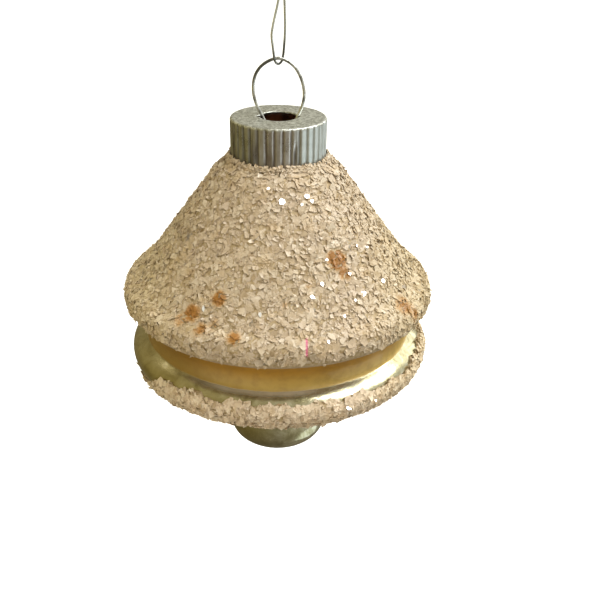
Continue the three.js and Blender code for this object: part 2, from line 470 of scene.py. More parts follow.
def flake_material(name, base):
    """Flakes in three tones of beige, lighter at their rims and tinted yellow at the sides as painted light,
    with rust stains and a pink streak.
    """
    n = Nodes(name)
    tone_and_rim_highlight = n.attribute("tone_and_rim_highlight")
    mottle = n.noise(1.6, 4.0, 0.6)
    level = n.plus(n.times(tone_and_rim_highlight, 0.75), n.times(mottle, 0.35))
    colour = n.ramp(level, (0.08, base[0]), (0.45, base[1]), (0.95, base[2]))
    broad = n.range(n.noise(0.11, 2.0), 0.42, 0.62)
    colour = n.mix(n.times(broad, 0.3), colour, (0.58, 0.46, 0.34))
    warm = n.range(n.noise(0.25, 3.0), 0.5, 0.7)
    colour = n.mix(n.times(warm, 0.35), colour, (0.6, 0.42, 0.2))
    # Painted light: the flakes are tinted yellow towards both sides.
    painted_side_light = n.range(n.math("ABSOLUTE", n.axis(0)), 13.0, 29.0)
    colour = n.mix(n.times(painted_side_light, 0.3), colour, (0.66, 0.53, 0.24))
    blotch = n.noise(0.9, 4.0, 0.65)
    stained = 0.0
    for azimuth, height, reach, feather, strength in RUST_STAINS:
        spot = n.near(on_crust(azimuth, height), reach, feather)
        stained = n.math("MAXIMUM", stained, n.times(spot, strength))
    soaked = n.plus(stained, n.times(n.math("SUBTRACT", blotch, 0.45), 1.1))
    halo = n.times(n.range(soaked, 0.1, 0.8), n.range(stained, 0.0, 0.3))
    core = n.times(n.range(soaked, 0.4, 0.95), n.range(stained, 0.15, 0.5))
    colour = n.mix(n.times(halo, 0.8), colour, (0.55, 0.3, 0.09))
    colour = n.mix(n.times(core, 0.95), colour, (0.34, 0.14, 0.015))
    aside = n.math("ABSOLUTE", n.math("SUBTRACT", n.axis(0), PINK_STREAK_X))
    streak = n.times(n.range(aside, 0.1, 0.3, 1.0, 0.0), n.range(n.axis(1), 0.0, -1.0))
    streak = n.times(streak, n.range(n.axis(2), PINK_STREAK_FOOT, PINK_STREAK_FOOT + 0.3))
    streak = n.times(streak, n.range(n.axis(2), PINK_STREAK_TOP, PINK_STREAK_TOP - 0.3))
    colour = n.mix(n.times(streak, 0.8), colour, (0.74, 0.11, 0.29))
    n.set(colour=colour, rough=n.range(mottle, 0.3, 0.7, 0.35, 0.6))
    n.set(coat=0.25, coat_rough=0.18, specular=0.6)
    n.set(normal=n.bump(n.noise(3.6, 5.0, 0.65), 0.14, 0.8))
    return n.material


def glue_material(name):
    """Lumpy glue with grey patches, smoother and pinker towards the upper crust's foot."""
    n = Nodes(name)
    lumps = n.noise(1.2, 5.0, 0.62)
    colour = n.ramp(lumps, (0.3, (0.34, 0.23, 0.11)), (0.5, (0.5, 0.38, 0.22)), (0.7, (0.6, 0.48, 0.32)))
    patches = n.range(n.noise(0.3, 4.0, 0.6), 0.6, 0.68)
    colour = n.mix(n.times(patches, 0.7), colour, (0.36, 0.33, 0.29))
    foot = n.range(n.plus(n.axis(2), n.noise(0.4, 2.0)), -36.8, -37.6)
    foot = n.times(foot, n.range(n.axis(2), -42.0, -41.0))
    colour = n.mix(n.times(foot, 0.7), colour, (0.5, 0.385, 0.27))
    rim = n.times(n.range(n.axis(2), -38.95, -39.15), n.range(n.axis(2), -42.0, -41.0))
    colour = n.mix(n.times(rim, 0.6), colour, (0.74, 0.62, 0.48))
    n.set(colour=colour, rough=0.6, specular=0.4, normal=n.bump(n.noise(2.5, 5.0, 0.65), 0.25, 0.8))
    return n.material


def glint_material(name):
    """Clean mica, bright as a mirror."""
    n = Nodes(name)
    colour = n.mix(n.range(n.noise(2.0), 0.4, 0.6), (0.9, 0.87, 0.8), (0.8, 0.78, 0.72))
    n.set(colour=colour, metal=0.7, rough=0.12, coat=1.0, coat_rough=0.05)
    n.set(normal=n.bump(n.noise(3.0), 0.02, 0.4))
    return n.material


def glass_material():
    """Old silvering with a patina, amber lacquer round the waist and a tarnished band under it, with painted
    shade on the knob and on the lacquer's top and left, and a painted reflection darkening the silver's left.
    """
    n = Nodes("silvered_glass")
    z = n.axis(2)
    patina = n.noise(0.3, 6.0, 0.65, distortion=0.6)
    specks = n.range(n.noise(2.2, 4.0, 0.7), 0.6, 0.7)
    silver = n.ramp(patina, (0.34, (0.3, 0.26, 0.12)), (0.5, (0.52, 0.47, 0.29)), (0.66, (0.72, 0.68, 0.5)))
    silver = n.mix(n.times(specks, 0.35), silver, (0.12, 0.1, 0.05))
    # Painted shade: the knob is darkened, most on its left.
    on_knob = n.range(z, -60.0, -66.0)
    painted_knob_shade = n.times(on_knob, n.range(n.axis(0), 4.0, -6.0, 0.1, 0.66))
    silver = n.mix(painted_knob_shade, silver, (0.24, 0.22, 0.16))
    # Painted reflection and shade: the silver turns dark yellow-green towards the left.
    painted_left_reflection = n.range(n.axis(0), 6.0, -26.0)
    silver = n.mix(n.times(painted_left_reflection, 0.6), silver, (0.36, 0.28, 0.11))
    waver = n.times(n.math("SUBTRACT", n.noise(0.3, 2.0), 0.5), 0.2)
    height = n.plus(z, waver)
    across = n.math("POWER", n.axis(0), 2.0)
    radius = n.math("SQRT", n.plus(across, n.math("POWER", n.axis(1), 2.0)))
    from_crease = n.math("SUBTRACT", n.plus(radius, waver), CREASE_RADIUS)
    above_lobe = n.range(height, CREASE_Z + 0.4, CREASE_Z + 0.8)
    amber = n.math("MAXIMUM", n.range(from_crease, 0.3, 0.08), above_lobe)
    amber = n.times(amber, n.range(height, -36.0, -37.0))
    amber = n.times(amber, n.range(z, -46.4, -45.9))
    tarnish = n.times(n.range(from_crease, 1.6, 0.5), n.range(z, -47.5, -47.0))
    tarnish = n.times(tarnish, n.range(n.axis(0), 10.0, 4.0))
    tarnish = n.times(tarnish, n.range(n.axis(0), -20.0, -9.0))
    tarnish = n.times(tarnish, n.range(specks, 0.0, 1.0, 1.0, 0.6))
    silver = n.mix(n.times(tarnish, 0.75), silver, (0.66, 0.61, 0.51))
    # Painted shade: the lacquer darkens and reddens towards its top, under the upper crust.
    depth = n.range(height, CREASE_Z, -40.5)
    lacquer = n.mix(depth, (0.55, 0.375, 0.095), (0.46, 0.23, 0.024))
    cloud = n.range(n.noise(0.5, 4.0), 0.4, 0.7)
    lacquer = n.mix(n.times(cloud, 0.3), lacquer, (0.24, 0.13, 0.03))
    # Painted shade: the lacquer darkens towards the left.
    lacquer = n.mix(n.times(n.range(n.axis(0), -2.0, -20.0), 0.6), lacquer, (0.26, 0.14, 0.02))
    metal = n.math("SUBTRACT", n.range(amber, 0.0, 1.0, 0.92, 0.25), n.times(tarnish, 0.45), clamp=True)
    satin = n.plus(n.range(amber, 0.0, 1.0, 0.13, 0.4), n.range(patina, 0.3, 0.7, 0.14, 0.02))
    n.set(colour=n.mix(amber, silver, lacquer), metal=metal, rough=satin, coat=0.25, coat_rough=0.04)
    wavy = n.bump(n.noise(0.35, 3.0), 0.15, 0.35)
    n.set(normal=n.bump(n.noise(4.0, 4.0, 0.7), 0.01, 0.35, wavy), coat_normal=wavy)
    return n.material


def inside_shade_material():
    """The inside of the glass seen down the neck: painted shade, near black, with reddish spots as painted
    reflections.
    """
    n = Nodes("neck_inside_shade")
    # Painted shade with painted reflections: near black with reddish spots.
    colour = n.ramp(n.noise(0.5, 4.0), (0.35, (0.03, 0.01, 0.005)), (0.62, (0.3, 0.09, 0.03)))
    n.set(colour=colour, rough=0.35, specular=0.5, normal=n.bump(n.noise(1.5, 3.0), 0.1, 0.5))
    return n.material


def cap_material():
    """Dull aluminium: painted shade in the grooves and on the left, streaked in front, painted light on the
    right, mottled on top.
    """
    n = Nodes("cap_aluminium")
    cloud = n.noise(0.5, 5.0, 0.6)
    colour = n.ramp(cloud, (0.3, (0.46, 0.46, 0.41)), (0.5, (0.6, 0.61, 0.57)), (0.7, (0.72, 0.73, 0.7)))
    # Painted shade: the cap darkens towards the left.
    painted_left_shade = n.range(n.axis(0), 5.0, -9.0)
    colour = n.mix(n.times(painted_left_shade, 0.5), colour, (0.3, 0.29, 0.2))
    # Painted shade: the grooves are darkened, more on the left.
    groove = n.attribute("groove")
    groove_shade = n.range(n.axis(0), 2.0, 6.0, 0.75, 0.4)
    colour = n.mix(n.times(groove, groove_shade), colour, (0.1, 0.09, 0.07))
    specks = n.range(n.noise(3.5, 4.0, 0.7), 0.62, 0.75)
    colour = n.mix(n.times(specks, 0.5), colour, (0.14, 0.12, 0.09))
    scratch = n.noise(1.2, 4.0, 0.7, stretch=(6.0, 6.0, 0.6))
    on_top = n.range(n.axis(2), -0.6, -0.2)
    on_side = n.math("SUBTRACT", 1.0, on_top)
    streaks = n.times(n.range(n.noise(0.5, 3.0, stretch=(2.0, 2.0, 0.15)), 0.5, 0.66), on_side)
    streaks = n.times(streaks, n.range(n.axis(0), 4.5, 2.0))
    colour = n.mix(n.times(streaks, 0.75), colour, (0.12, 0.1, 0.08))
    # Painted light: the skirt's right is lightened towards a cool blue.
    bright = n.times(n.range(n.axis(0), 3.0, 6.0), on_side)
    colour = n.mix(n.times(bright, 0.55), colour, (0.66, 0.72, 0.72))
    rosy = n.times(n.range(n.axis(0), -7.0, -1.0), n.range(n.axis(0), 5.0, 1.5))
    rosy = n.times(rosy, on_side)
    colour = n.mix(n.times(rosy, 0.35), colour, (0.6, 0.5, 0.48))
    mottle = n.range(n.noise(1.3, 6.0, 0.75, distortion=0.8), 0.42, 0.58)
    pale = n.mix(mottle, (0.36, 0.36, 0.31), (0.8, 0.81, 0.75))
    colour = n.mix(n.times(on_top, 0.85), colour, pale)
    rough_map = n.plus(n.range(cloud, 0.3, 0.7, 0.26, 0.38), n.times(on_top, 0.12))
    rough_map = n.plus(rough_map, n.times(bright, 0.16))
    n.set(colour=colour, metal=0.9, rough=rough_map)
    n.set(normal=n.bump(scratch, 0.04, 0.6, n.bump(n.noise(1.2, 5.0, 0.65), 0.14, 0.45)))
    return n.material


def wire_material(name, dark, light, shaded_point):
    """Old wire: dark and light stretches, and a dark patch of painted shade round a given point."""
    n = Nodes(name)
    cloud = n.noise(0.45, 4.0, 0.6)
    colour = n.ramp(cloud, (0.4, dark), (0.56, light))
    # Painted shade: the wire is darkened round the given point.
    colour = n.mix(n.times(n.near(shaded_point, 1.6, 2.4), 0.85), colour, (0.07, 0.07, 0.065))
    specks = n.range(n.noise(4.0, 3.0, 0.7), 0.6, 0.72)
    colour = n.mix(n.times(specks, 0.5), colour, (0.12, 0.08, 0.04))
    n.set(colour=colour, metal=0.95, rough=n.range(cloud, 0.35, 0.65, 0.34, 0.2))
    n.set(normal=n.bump(n.noise(3.0, 4.0), 0.02, 0.5))
    return n.material


# ---------------------------------------------------------------- pieces

def glass_body():
    """One thin shell from the outside pole under the knob, up over the lip and down the inside."""
    columns = GLASS_COLUMNS
    outside = resampled(glass_outline(), GLASS_STEP)
    normals = outward(outside)
    inside = resampled(outside - normals * WALL, INNER_GLASS_STEP)
    inside[0] = (NECK_RADIUS - WALL, LIP_Z)
    outside[-1, 0] = inside[-1, 0] = 0
    outline = joined(outside[::-1][1:], inside[:-1])
    points = round_about(outline, columns).reshape(-1, 3)
    direction = points * np.array([1, 1, 0])
    direction /= np.linalg.norm(direction, axis=1)[:, None]
    swell = np.repeat(np.interp(outline[:, 1], [-12, -8.5], [1, 0]), columns)
    points += direction * (0.07 * swell * rough(points, 16, 1))[:, None]
    faces = [tuple(reversed(f)) for f in grid_faces(len(outline), columns)]
    outer_rows = len(outside) - 1
    low, high = len(points), len(points) + 1
    points = np.vstack([points, [0, 0, outside[-1, 1]], [0, 0, inside[-1, 1]]])
    start = (len(outline) - 1) * columns
    for j in range(columns):
        k = (j + 1) % columns
        faces.append((low, k, j))
        faces.append((high, start + j, start + k))
    piece = mesh_piece("glass_shell", points, faces, glass_material())
    piece.data.materials.append(inside_shade_material())
    for polygon in piece.data.polygons:
        if min(polygon.vertices) >= outer_rows * columns and low not in polygon.vertices:
            polygon.material_index = 1
    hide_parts("glass_body")
    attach(piece, "glass")


# Dark, middle and light colours of the flakes of each crust. The lower crust's are paler and pinker, partly
# as painted light that stands in for light from below
BEIGE = [(0.34, 0.235, 0.12), (0.53, 0.405, 0.262), (0.7, 0.595, 0.45)]
PALE_BEIGE = [(0.46, 0.34, 0.19), (0.74, 0.58, 0.4), (0.93, 0.81, 0.63)]

# Least and greatest reach of a flake from its middle, in millimetres
BROAD = (0.55, 1.35)
FINE = (0.28, 0.6)
COLLAR = (0.3, 0.75)

BROAD_UPPER_COUNT = 10600
FINE_UPPER_COUNT = 7000
LOWER_COUNT = 4200
COLLAR_COUNT = 900
FLAKE_THICKNESS = 0.06
TONE_SPREAD = 0.2
GLUE_DEPTH = CRUST - 0.05
GLUE_SUNK = 0.16


class Skin:
    """A turned surface between a top and a bottom edge that may wander with the azimuth."""

    def __init__(self, outline, top=None, bottom=None):
        self.line = resampled(outline, CRUST_STEP)
        self.along = lengths(self.line)
        self.normals = outward(self.line)
        self.top = top or (lambda azimuth: np.full_like(azimuth, self.line[0, 1]))
        self.bottom = bottom or (lambda azimuth: np.full_like(azimuth, self.line[-1, 1]))

    def length_at(self, height):
        return np.interp(-height, -self.line[:, 1], self.along)

    def span(self, azimuth):
        return self.length_at(self.top(azimuth)), self.length_at(self.bottom(azimuth))

    def at(self, length, azimuth):
        """Points and normals at a length along the outline and an azimuth in radians."""
        r, z = (np.interp(length, self.along, self.line[:, i]) for i in (0, 1))
        nr, nz = (np.interp(length, self.along, self.normals[:, i]) for i in (0, 1))
        sin, cos = np.sin(azimuth), np.cos(azimuth)
        point = np.stack([r * sin, -r * cos, z], axis=-1)
        normal = np.stack([nr * sin, -nr * cos, nz], axis=-1)
        return point, normal / np.linalg.norm(normal, axis=-1, keepdims=True)

    def scattered(self, count, keep=None, margin=0.0, top_margin=0.2):
        """Random places, even over the surface: points, normals and two tangents.

        The margins keep them off the bottom and top edges, and keep thins them out near the bottom.
        """
        found = np.zeros((0, 2))
        widest = self.line[:, 0].max()
        while len(found) < count:
            azimuth = rng.uniform(-math.pi, math.pi, 2 * count)
            length = rng.uniform(0, self.along[-1], 2 * count)
            first, last = self.span(azimuth)
            radius = np.interp(length, self.along, self.line[:, 0])
            chosen = rng.uniform(0, widest, 2 * count) < radius
            chosen &= (length > first + top_margin) & (length < last - margin)
            if keep is not None:
                chosen &= rng.uniform(0, 1, 2 * count) < keep(last - length)
            found = np.vstack([found, np.column_stack([length, azimuth])[chosen]])
        length, azimuth = found[:count].T
        point, normal = self.at(length, azimuth)
        around = np.column_stack([np.cos(azimuth), np.sin(azimuth), 0 * azimuth])
        return point, normal, around, np.cross(normal, around)


def glue_layer(name, skin, rows, node, smooth_foot=0.0):
    """The uneven layer of glue and grit that the flakes sit in: a closed shell on the glass.

    Its lowest smooth_foot millimetres are calmer than the rest.
    """
    columns = GLUE_COLUMNS
    azimuth = np.linspace(0, 2 * math.pi, columns, endpoint=False)
    first, last = skin.span(azimuth)
    shares = np.linspace(0, 1, rows)[:, None]
    outer, normal = skin.at(first + (last - first) * shares, azimuth + 0 * shares)
    lumps = outer.reshape(-1, 3)
    above_foot = np.repeat((last - first).mean() * (1 - shares[:, 0]), columns)
    calm = np.interp(above_foot, [0, smooth_foot], [0.25, 1])
    height = calm * (0.15 * rough(lumps, 0.8, 2) + 0.12 * rough(lumps, 2.4, 3)) - GLUE_SUNK
    fade = np.minimum(np.minimum(shares, 1 - shares) * 12, 1)
    outer = outer + normal * (height.reshape(rows, columns) * fade - GLUE_DEPTH * 0.7 * (1 - fade))[..., None]
    inner_shares = np.linspace(1, 0, GLUE_INNER_ROWS)[:, None]
    inner, normal = skin.at(first + (last - first) * inner_shares, azimuth + 0 * inner_shares)
    inner = inner - normal * GLUE_DEPTH
    points = np.concatenate([outer, inner]).reshape(-1, 3)
    faces = grid_faces(rows + GLUE_INNER_ROWS, columns, close_rows=True)
    piece = mesh_piece(name, points, faces, glue_material(name))
    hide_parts(node)
    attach(piece, "glass")


def flakes(name, place, size, tilt, sink, corners, material):
    """Closed thin plates, each with its own outline, lean, cup and colour level, a little lighter at the rim
    as a painted highlight.
    """
    point, normal, around, down = place
    count = len(point)
    lean_way = rng.uniform(0, 2 * math.pi, count)[:, None]
    lean = np.clip(rng.normal(0, tilt, count), -1.0, 1.0)[:, None]
    side = around * np.cos(lean_way) + down * np.sin(lean_way)
    up = normal * np.cos(lean) + side * np.sin(lean)
    first = side * np.cos(lean) - normal * np.sin(lean)
    second = np.cross(up, first)
    spread = rng.triangular(size[0], size[0] * 1.2, size[1], count)
    narrow = rng.uniform(0.5, 1.0, count)
    height = rng.uniform(sink[0], sink[1], count)[:, None]
    centre = point + normal * height
    turn = rng.uniform(0, 2 * math.pi, count)[:, None]
    angle = turn + (np.arange(corners) + rng.uniform(-0.3, 0.3, (count, corners))) * 2 * math.pi / corners
    reach = spread[:, None] * rng.uniform(0.5, 1.15, (count, corners))
    a, b = reach * np.cos(angle), reach * np.sin(angle) * narrow[:, None]
    curl = rng.uniform(-0.1, 0.12, (count, corners))
    rim = centre[:, None] + a[..., None] * first[:, None] + b[..., None] * second[:, None]
    rim += curl[..., None] * up[:, None]
    thick = FLAKE_THICKNESS * rng.uniform(0.7, 1.5, count)[:, None]
    middle = centre + up * (thick * 0.6 + rng.uniform(-0.05, 0.05, count)[:, None])
    top = rim + up[:, None] * thick[:, None] / 2
    bottom = rim - up[:, None] * thick[:, None] / 2
    points = np.concatenate([top, bottom, middle[:, None]], axis=1).reshape(-1, 3)
    per = 2 * corners + 1
    faces = []
    for i in range(count):
        s = i * per
        for j in range(corners):
            k = (j + 1) % corners
            faces.append((s + j, s + k, s + per - 1))
            faces.append((s + k, s + j, s + corners + j, s + corners + k))
        faces.append(tuple(s + corners + j for j in reversed(range(corners))))
    piece = mesh_piece(name, points, faces, material, smooth=False)
    tone_and_rim_highlight = piece.data.attributes.new("tone_and_rim_highlight", "FLOAT", "POINT")
    values = np.repeat(np.clip(rng.normal(0.5, TONE_SPREAD, count), 0, 1), per).reshape(count, per)
    # The rim points are a little lighter: a painted highlight along the flake edges.
    values[:, : 2 * corners] += 0.1
    tone_and_rim_highlight.data.foreach_set("value", values.ravel())
    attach(piece, "glass")


# azimuth and height of the lower crust's ragged upper edge, all round
LOWER_EDGE = [
    (-57, -50.5), (-53, -48.2), (-47, -46.6), (-39, -46.1), (-30, -45.95), (-22, -46.3), (-11, -45.95),
    (0, -46.1), (11, -46.05), (24, -46.1), (42, -46.45), (50, -46.6), (59, -46.8), (65, -46.1),
    (79, -45.9), (100, -46.4), (125, -46.7), (150, -46), (180, -46.4), (205, -46.8), (235, -47),
    (250, -49.5), (275, -51.2), (288, -51.2),
]


def lower_edge(azimuth):
    """Height of the lower crust's upper edge, ragged at the scale of a few flakes."""
    degrees = np.degrees(azimuth) % 360
    places = sorted((a % 360, z) for a, z in LOWER_EDGE)
    base = np.interp(degrees, [a for a, _ in places], [z for _, z in places], period=360)
    ragged = 0.22 * np.sin(23 * azimuth + 1.3) + 0.16 * np.sin(57 * azimuth)
    ragged += 0.1 * np.sin(101 * azimuth + 2)
    return base - 0.25 + ragged


def upper_end(azimuth):
    """Height of the upper crust's lower edge, nearly even all round."""
    return -39.2 + 0.1 * np.sin(5 * azimuth + 0.6) + 0.05 * np.sin(17 * azimuth)


def collar():
    """Places for the flakes heaped against the outside of the cap's hem, a little lower at the sides."""
    count = COLLAR_COUNT
    azimuth = rng.uniform(-math.pi, math.pi, count)
    heap = 0.85 - 0.1 * np.sin(azimuth) ** 2 + 0.15 * np.sin(5 * azimuth + 1)
    share = rng.uniform(0, 1, count)
    radius = CAP_RADIUS + 0.45 + 0.5 * share
    height = -CAP_HEIGHT - 0.35 + heap * (1 - share) - 0.55 * share
    sin, cos = np.sin(azimuth), np.cos(azimuth)
    point = np.column_stack([radius * sin, -radius * cos, height])
    normal = np.column_stack([0.75 * sin, -0.75 * cos, 0.66 + 0 * sin])
    around = np.column_stack([cos, sin, 0 * sin])
    return point, normal, around, np.cross(normal, around)


def upper_crust():
    skin = Skin(upper_crust_outline(), bottom=upper_end)
    glue_layer("glue_upper", skin, 120, "mica_crust_upper", smooth_foot=2.5)

    def keep(above_foot):
        """Chance that a flake stays where it falls: small near the foot."""
        return np.interp(above_foot, [1.9, 3.4], [0.1, 1.0])

    material = flake_material("mica_flakes_upper", BEIGE)
    place = skin.scattered(BROAD_UPPER_COUNT, keep, margin=2.7)
    flakes("broad_flakes_upper", place, BROAD, 0.27, (-0.2, 0.1), 5, material)
    place = skin.scattered(FINE_UPPER_COUNT, keep, margin=1.9)
    flakes("fine_flakes_upper", place, FINE, 0.5, (-0.12, 0.16), 4, material)
    flakes("collar_flakes", collar(), COLLAR, 0.3, (-0.1, 0.05), 5, material)
    glint_flakes("glints_upper", skin, GLINTS)


def lower_crust():
    skin = Skin(lower_crust_outline(), top=lower_edge)
    glue_layer("glue_lower", skin, 44, "mica_crust_lower")
    material = flake_material("mica_flakes_lower", PALE_BEIGE)
    place = skin.scattered(LOWER_COUNT, margin=0.3, top_margin=0.3)
    flakes("broad_flakes_lower", place, BROAD, 0.3, (-0.2, 0.08), 5, material)
    place = skin.scattered(LOWER_COUNT, margin=0.15)
    flakes("fine_flakes_lower", place, FINE, 0.5, (-0.12, 0.14), 4, material)
    glint_flakes("glints_lower", skin, LOWER_GLINTS)


# azimuth, height, radius and how far each is turned out of the brightest direction, in degrees
GLINTS = [
    (-8, -10.4, 0.36, 0), (3, -12.4, 0.68, 0), (22, -11.9, 0.6, 0), (25.5, -12.7, 0.42, 4),
    (17, -13, 0.3, 5), (20, -25.4, 0.5, 2), (25, -21.9, 0.3, 5), (35, -24.8, 0.34, 5),
    (38, -28.4, 0.8, 8), (52, -27.9, 0.42, 5), (17, -33.4, 0.3, 6), (53, -22.1, 0.32, 7),
    (46, -21.2, 0.26, 6), (33, -28.9, 0.3, 10), (-7, -29.5, 0.5, 14), (14.5, -27.2, 0.5, 8),
    (26, -30.6, 0.3, 9), (-30, -30, 0.6, 15), (140, -20, 0.5, 0), (170, -27, 0.6, 5),
    (-150, -24, 0.5, 4), (-100, -30, 0.4, 0), (110, -30, 0.5, 6), (80, -24, 0.4, 8),
]
LOWER_GLINTS = [(24.6, -48.2, 0.55, 3), (36, -48.6, 0.25, 8)]

# Azimuth up to which a glint faces the front, and its height above the crust's outline in millimetres
GLINT_FRONT = 60
GLINT_RISE = 0.25

# Direction from the ornament to the brightest window
KEY_DIRECTION = (0.47, -0.15, 0.86)


def glint_flakes(name, skin, places):
    """Bright clean flakes turned halfway between the window and a viewer in front of the ornament.

    Beyond GLINT_FRONT degrees, where no such viewer sees them, the window and viewer go round with them.
    """
    corners = 6
    points = []
    faces = []
    for azimuth, height, radius, aside in places:
        a = math.radians(azimuth)
        spot, normal = skin.at(skin.length_at(height), np.array(a))
        spot = Vector(spot) + Vector(normal) * GLINT_RISE
        turn = Matrix.Rotation(a if abs(azimuth) > GLINT_FRONT else 0, 3, "Z")
        viewer = turn @ Vector(EYE) - spot
        key = turn @ Vector(KEY_DIRECTION)
        facing = (viewer.normalized() + key.normalized()).normalized()
        side = facing.orthogonal().normalized()
        facing = Matrix.Rotation(math.radians(aside), 3, side) @ facing
        other = facing.cross(side)
        reach = [radius * float(share) for share in rng.uniform(0.5, 1.2, corners)]
        start = len(points)
        for lift in (FLAKE_THICKNESS / 2, -FLAKE_THICKNESS / 2):
            for j in range(corners):
                angle = 2 * math.pi * j / corners
                out = reach[j] * (math.cos(angle) * side + math.sin(angle) * other)
                points.append(spot + out + lift * facing)
        faces.append(tuple(start + j for j in range(corners)))
        faces.append(tuple(start + corners + j for j in reversed(range(corners))))
        for j in range(corners):
            k = (j + 1) % corners
            faces.append((start + k, start + j, start + corners + j, start + corners + k))
    piece = mesh_piece(name, points, faces, glint_material(name), smooth=False)
    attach(piece, "glass")


# azimuth, depth, width in degrees, lowest and highest point of each dent
DENTS = [
    (-27, 0.5, 2.6, -7.4, -3.4), (-22, -0.12, 1.6, -7, -3), (20, 0.5, 2.2, -8, -3.5),
    (17, -0.1, 1.2, -7.5, -4), (-11, 0.25, 5, -8, -4.5), (140, 0.45, 3, -7, -3),
    (-150, 0.3, 4, -8, -4), (85, 0.25, 3, -8, -5),
]


def cap_radius(azimuth, height):
    """Outer radius of the fluted skirt, with a few dents."""
    fade = np.interp(-height, [0.1, 0.65], [0, 1])
    from_groove = np.abs((FLUTES * azimuth / (2 * math.pi)) % 1 - 0.5) * 2
    groove = np.exp(-((from_groove / GROOVE_SHARE) ** 2))
    radius = CAP_RADIUS - FLUTE_DEPTH * fade * groove
    for centre, depth, width, low, high in DENTS:
        across = np.exp(-(((np.degrees(azimuth) - centre) / width) ** 2))
        along = np.exp(-(((height - (low + high) / 2) / ((high - low) / 2)) ** 2))
        radius -= depth * across * along
    return radius


def aluminium_cap():
    """The cap as one closed sheet: from the hole over the top, down the skirt and back inside."""
    columns = FLUTES * COLUMNS_PER_FLUTE
    azimuth = np.linspace(-math.pi, math.pi, columns, endpoint=False)
    edge = arc((CAP_RADIUS - CAP_EDGE_RADIUS, -CAP_EDGE_RADIUS), CAP_EDGE_RADIUS, 90, 0, 9)
    flat = np.column_stack([np.linspace(CAP_HOLE_RADIUS, CAP_RADIUS - 0.6, 12), np.zeros(12)])
    skirt = np.column_stack([np.full(24, CAP_RADIUS), np.linspace(-0.7, -CAP_HEIGHT, 24)])
    outside = joined(flat, edge, skirt)
    inner = outside[::-1] - outward(outside)[::-1] * CAP_SHEET
    inner[0, 1] = -CAP_HEIGHT
    inner[-1, 0] = CAP_HOLE_RADIUS
    outline = joined(outside, inner)
    from_notch = np.abs(np.degrees(np.abs(azimuth)) - 90)
    notch = NOTCH_DEPTH * np.clip(1 - from_notch / NOTCH_DEGREES, 0, 1)
    rows = []
    groove = []
    for i, (r, z) in enumerate(outline):
        skin = CAP_RADIUS if i < len(outside) else CAP_RADIUS - CAP_SHEET
        outer = cap_radius(azimuth, np.full(columns, z)) - CAP_RADIUS
        share = np.interp(r, [CAP_RADIUS - 1.2, skin], [0, 1])
        hole = np.interp(r, [CAP_HOLE_RADIUS, CAP_HOLE_RADIUS + 1.6], [1, 0])
        radius = r + outer * share + notch * hole
        wobble = 0.05 * np.sin(3 * azimuth + 1) + 0.04 * np.sin(7 * azimuth)
        drop = np.interp(-z, [5, CAP_HEIGHT], [0, 1]) * wobble
        rows.append(np.column_stack([radius * np.sin(azimuth), -radius * np.cos(azimuth), z + drop]))
        groove.append(np.clip(-outer * share / FLUTE_DEPTH, 0, 1) ** 1.5)
    points = np.vstack(rows)
    faces = grid_faces(len(outline), columns, close_rows=True)
    piece = mesh_piece("fluted_cap", points, faces, cap_material())
    mark = piece.data.attributes.new("groove", "FLOAT", "POINT")
    mark.data.foreach_set("value", np.concatenate(groove))
    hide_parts("cap")
    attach(piece, "cap")


def hanger_clip():
    """The spring wire: two legs that come up from the neck, through the cap's notches, into the ring."""
    route = [
        (-5.9, -14.4), (-4.9, -10), (-3, -5), (-2.3, -2.4), (-3.1, -0.1), (-4.25, 2.2), (-4.85, 5),
        (-4.4, 7.9), (-2.8, 9.93), (0, 11), (2.6, 9.85), (4.2, 7.5), (4.93, 4.3), (4.5, 1.8),
        (3.6, -0.3), (2.9, -2.4), (3.3, -5), (5, -10), (6, -14.4),
    ]
    centre = spline([(x, 0, z) for x, z in route], 220)
    material = wire_material("clip_steel", (0.3, 0.3, 0.28), (0.85, 0.86, 0.84), (-3.0, 0, 9.4))
    piece = wire_piece("spring_clip", centre, RING_WIRE / 2, material, (0, 1, 0))
    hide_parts("hanger_clip")
    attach(piece, "clip")


def ornament_hook():
    """The hook: its wire's end, down the narrow loop round the ring, up the shank and over the crook."""
    loop = [
        (0.45, 24.3), (-0.1, 21.4), (-1.5, 17.1), (-1.85, 15.4), (-1.6, 13.6), (-1.15, 11.2), (-0.8, 10.35),
        (0, 9.95), (0.8, 10.35), (1.15, 11.2), (1.5, 13.7), (1.68, 16), (1.6, 19), (1.45, 21.4),
        (1.1, 24.4), (1.3, 27), (2.7, 31), (4, 34.6),
    ]
    crook = arc((0, CROOK_Z), CROOK_RADIUS, 0, 180, 9)
    tail = [(-4.2, 35), (-4.7, 33)]
    across = (math.cos(HOOK_TURN), math.sin(HOOK_TURN))
    route = [(u * across[0], u * across[1], z) for u, z in [*loop, *crook, *tail]]
    centre = spline(route, 360)
    material = wire_material("hook_steel", (0.5, 0.52, 0.48), (0.85, 0.87, 0.84), (0.6, 0.6, 11.4))
    piece = wire_piece("wire_hook", centre, HOOK_WIRE / 2, material, (-across[1], across[0], 0))
    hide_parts("ornament_hook")
    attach(piece, "hook")


# ---------------------------------------------------------------- stage

def camera():
    data = bpy.data.cameras.new("camera")
    data.lens = LENS
    data.sensor_width = SENSOR
    data.clip_start = 0.01
    data.clip_end = 20
    eye, aim = ((Vector(p) + Vector((0, 0, CAP_TOP))) * MM for p in (EYE, AIM))
    holder = bpy.data.objects.new("camera", data)
    holder.location = eye
    turn = (aim - eye).to_track_quat("-Z", "Y")
    roll = Matrix.Rotation(math.radians(ROLL), 3, "Z")
    holder.rotation_euler = (turn.to_matrix() @ roll).to_euler()
    bpy.context.scene.collection.objects.link(holder)
    bpy.context.scene.camera = holder


